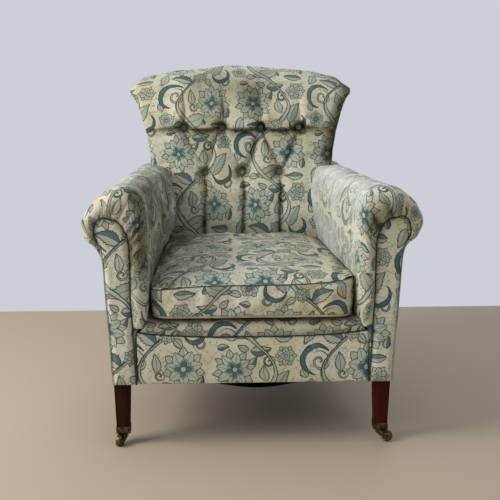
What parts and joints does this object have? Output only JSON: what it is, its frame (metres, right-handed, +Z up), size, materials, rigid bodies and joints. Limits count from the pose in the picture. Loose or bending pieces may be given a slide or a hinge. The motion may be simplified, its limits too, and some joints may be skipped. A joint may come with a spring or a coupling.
{
  "type": "armchair",
  "caption": "Low upholstered armchair with scroll arms, raked buttoned back, loose box cushion and square tapered legs on castors.",
  "frame": {"origin": "on the floor, under the centre of the chair's box at rest", "axes": "+Z up; -Y is the front of the chair and +Y its back; +X is the right side as one looks at the front"},
  "size_m": [0.7642, 0.895, 0.8422],
  "materials": {
    "printed_cloth": "worn cream cotton with a blue-green leaf and flower print, soiled",
    "button_cloth": "worn covered button",
    "black_cloth": "thin black lining cloth",
    "leg_wood": "polished red-brown hardwood, worn at the edges",
    "frame_wood": "bare sawn hardwood",
    "webbing": "woven jute strap",
    "spring_steel": "dull spring wire",
    "castor_brass": "dark tarnished brass",
    "axle_steel": "dull worn pin"
  },
  "bodies": {
    "chair": {"front_seat_rail": "frame_wood", "back_seat_rail": "frame_wood", "crest_rail": "frame_wood", "lower_back_rail": "frame_wood", "seat_webbing": "webbing", "side_seat_rail_left": "frame_wood", "side_seat_rail_right": "frame_wood", "arm_stump_left": "frame_wood", "arm_stump_right": "frame_wood", "arm_top_rail_left": "frame_wood", "arm_top_rail_right": "frame_wood", "corner_block_front_left": "frame_wood", "corner_block_front_right": "frame_wood", "corner_block_back_left": "frame_wood", "corner_block_back_right": "frame_wood", "seat_spring_1": "spring_steel", "seat_spring_2": "spring_steel", "seat_spring_3": "spring_steel", "seat_spring_4": "spring_steel", "seat_spring_5": "spring_steel", "seat_spring_6": "spring_steel", "seat_spring_7": "spring_steel", "seat_spring_8": "spring_steel", "seat_spring_9": "spring_steel", "front_leg_left": "leg_wood", "back_post_left": "leg_wood", "arm_upholstery_left": "printed_cloth", "arm_facing_left": "printed_cloth", "front_leg_right": "leg_wood", "back_post_right": "leg_wood", "arm_upholstery_right": "printed_cloth", "arm_facing_right": "printed_cloth", "seat_platform": "printed_cloth", "seat_cushion": "printed_cloth", "inside_back": "printed_cloth", "outside_back": "printed_cloth", "bottom_cloth": "black_cloth", "back_button_1": "button_cloth", "back_button_2": "button_cloth", "back_button_3": "button_cloth", "back_button_4": "button_cloth", "back_button_5": "button_cloth", "back_button_6": "button_cloth", "back_button_7": "button_cloth", "castor_cup_front_left": "castor_brass", "castor_cup_front_right": "castor_brass", "castor_cup_back_left": "castor_brass", "castor_cup_back_right": "castor_brass"},
    "horn_front_left": {"castor_horn_front_left": "castor_brass", "castor_axle_front_left": "axle_steel"},
    "wheel_front_left": {"castor_wheel_front_left": "castor_brass"},
    "horn_front_right": {"castor_horn_front_right": "castor_brass", "castor_axle_front_right": "axle_steel"},
    "wheel_front_right": {"castor_wheel_front_right": "castor_brass"},
    "horn_back_left": {"castor_horn_back_left": "castor_brass", "castor_axle_back_left": "axle_steel"},
    "wheel_back_left": {"castor_wheel_back_left": "castor_brass"},
    "horn_back_right": {"castor_horn_back_right": "castor_brass", "castor_axle_back_right": "axle_steel"},
    "wheel_back_right": {"castor_wheel_back_right": "castor_brass"}
  },
  "joints": [
    {"name": "castor_swivel_front_left", "type": "hinge", "parent": "chair", "child": "horn_front_left", "pos_m": [-0.3, -0.38385, 0.02], "axis": [0, 0, 1], "continuous": true},
    {"name": "castor_roll_front_left", "type": "hinge", "parent": "horn_front_left", "child": "wheel_front_left", "pos_m": [-0.30742, -0.40668, 0.013], "axis": [0.9511, -0.309, 0], "continuous": true},
    {"name": "castor_swivel_front_right", "type": "hinge", "parent": "chair", "child": "horn_front_right", "pos_m": [0.3, -0.38385, 0.02], "axis": [0, 0, 1], "continuous": true},
    {"name": "castor_roll_front_right", "type": "hinge", "parent": "horn_front_right", "child": "wheel_front_right", "pos_m": [0.31444, -0.40302, 0.013], "axis": [0.7986, 0.6018, 0], "continuous": true},
    {"name": "castor_swivel_back_left", "type": "hinge", "parent": "chair", "child": "horn_back_left", "pos_m": [-0.231, 0.28565, 0.02], "axis": [0, 0, 1], "continuous": true},
    {"name": "castor_roll_back_left", "type": "hinge", "parent": "horn_back_left", "child": "wheel_back_left", "pos_m": [-0.243, 0.30644, 0.013], "axis": [-0.866, -0.5, 0], "continuous": true},
    {"name": "castor_swivel_back_right", "type": "hinge", "parent": "chair", "child": "horn_back_right", "pos_m": [0.231, 0.28565, 0.02], "axis": [0, 0, 1], "continuous": true},
    {"name": "castor_roll_back_right", "type": "hinge", "parent": "horn_back_right", "child": "wheel_back_right", "pos_m": [0.25066, 0.29942, 0.013], "axis": [-0.5736, 0.8192, 0], "continuous": true}
  ]
}
